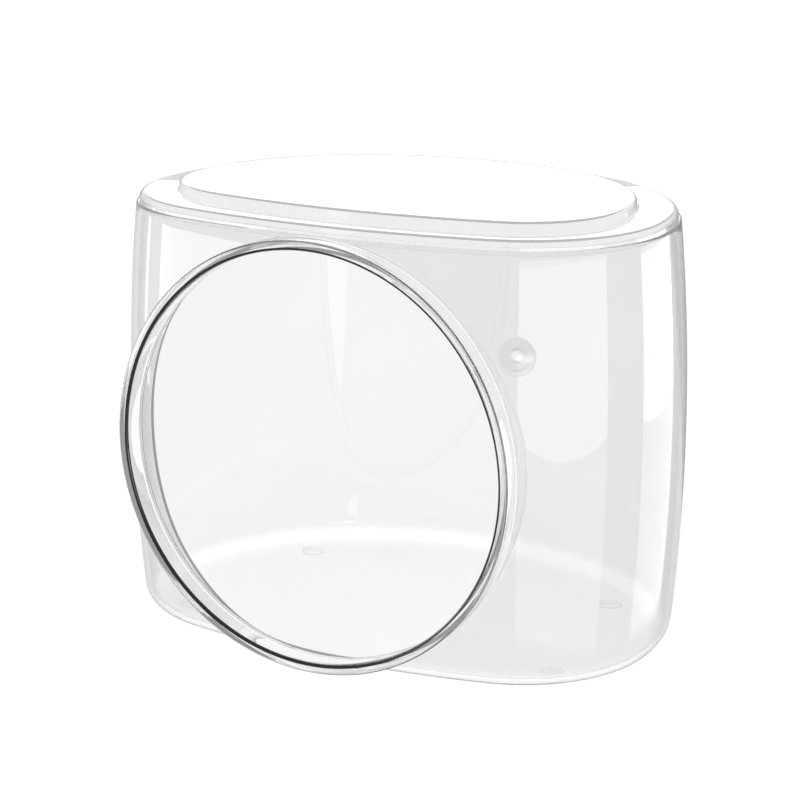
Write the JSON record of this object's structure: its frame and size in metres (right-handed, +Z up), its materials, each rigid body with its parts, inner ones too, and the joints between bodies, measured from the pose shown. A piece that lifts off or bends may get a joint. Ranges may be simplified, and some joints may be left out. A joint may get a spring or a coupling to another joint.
{
  "type": "semi-enclosed cat bed",
  "caption": "Clear bulging D-shaped cat bed with a round ringed entrance in its nearly flat front, a domed button beside it and a lift-off lid.",
  "frame": {"origin": "centre of the bounding box at its base, on the surface the pads stand on", "axes": "+X along the bed's width, the entrance in the nearly flat front towards -Y, +Z up through the lid"},
  "size_m": [0.42, 0.319, 0.323],
  "materials": {
    "clear_shell": "polished clear",
    "clear_lid": "polished clear",
    "clear_ring": "polished clear",
    "clear_fittings": "polished clear",
    "clear_pads": "clear satin silicone"
  },
  "bodies": {
    "tub": {"body_shell": "clear_shell", "entrance_ring": "clear_ring", "button": "clear_fittings", "button_retainer": "clear_fittings", "pad_front_left": "clear_pads", "pad_front_right": "clear_pads", "pad_back_left": "clear_pads", "pad_back_right": "clear_pads"},
    "cover": {"lid": "clear_lid"}
  },
  "joints": [
    {"name": "lid_lift", "type": "slide", "parent": "tub", "child": "cover", "axis": [0, 0, 1], "range_m": [0, 0.06]}
  ]
}
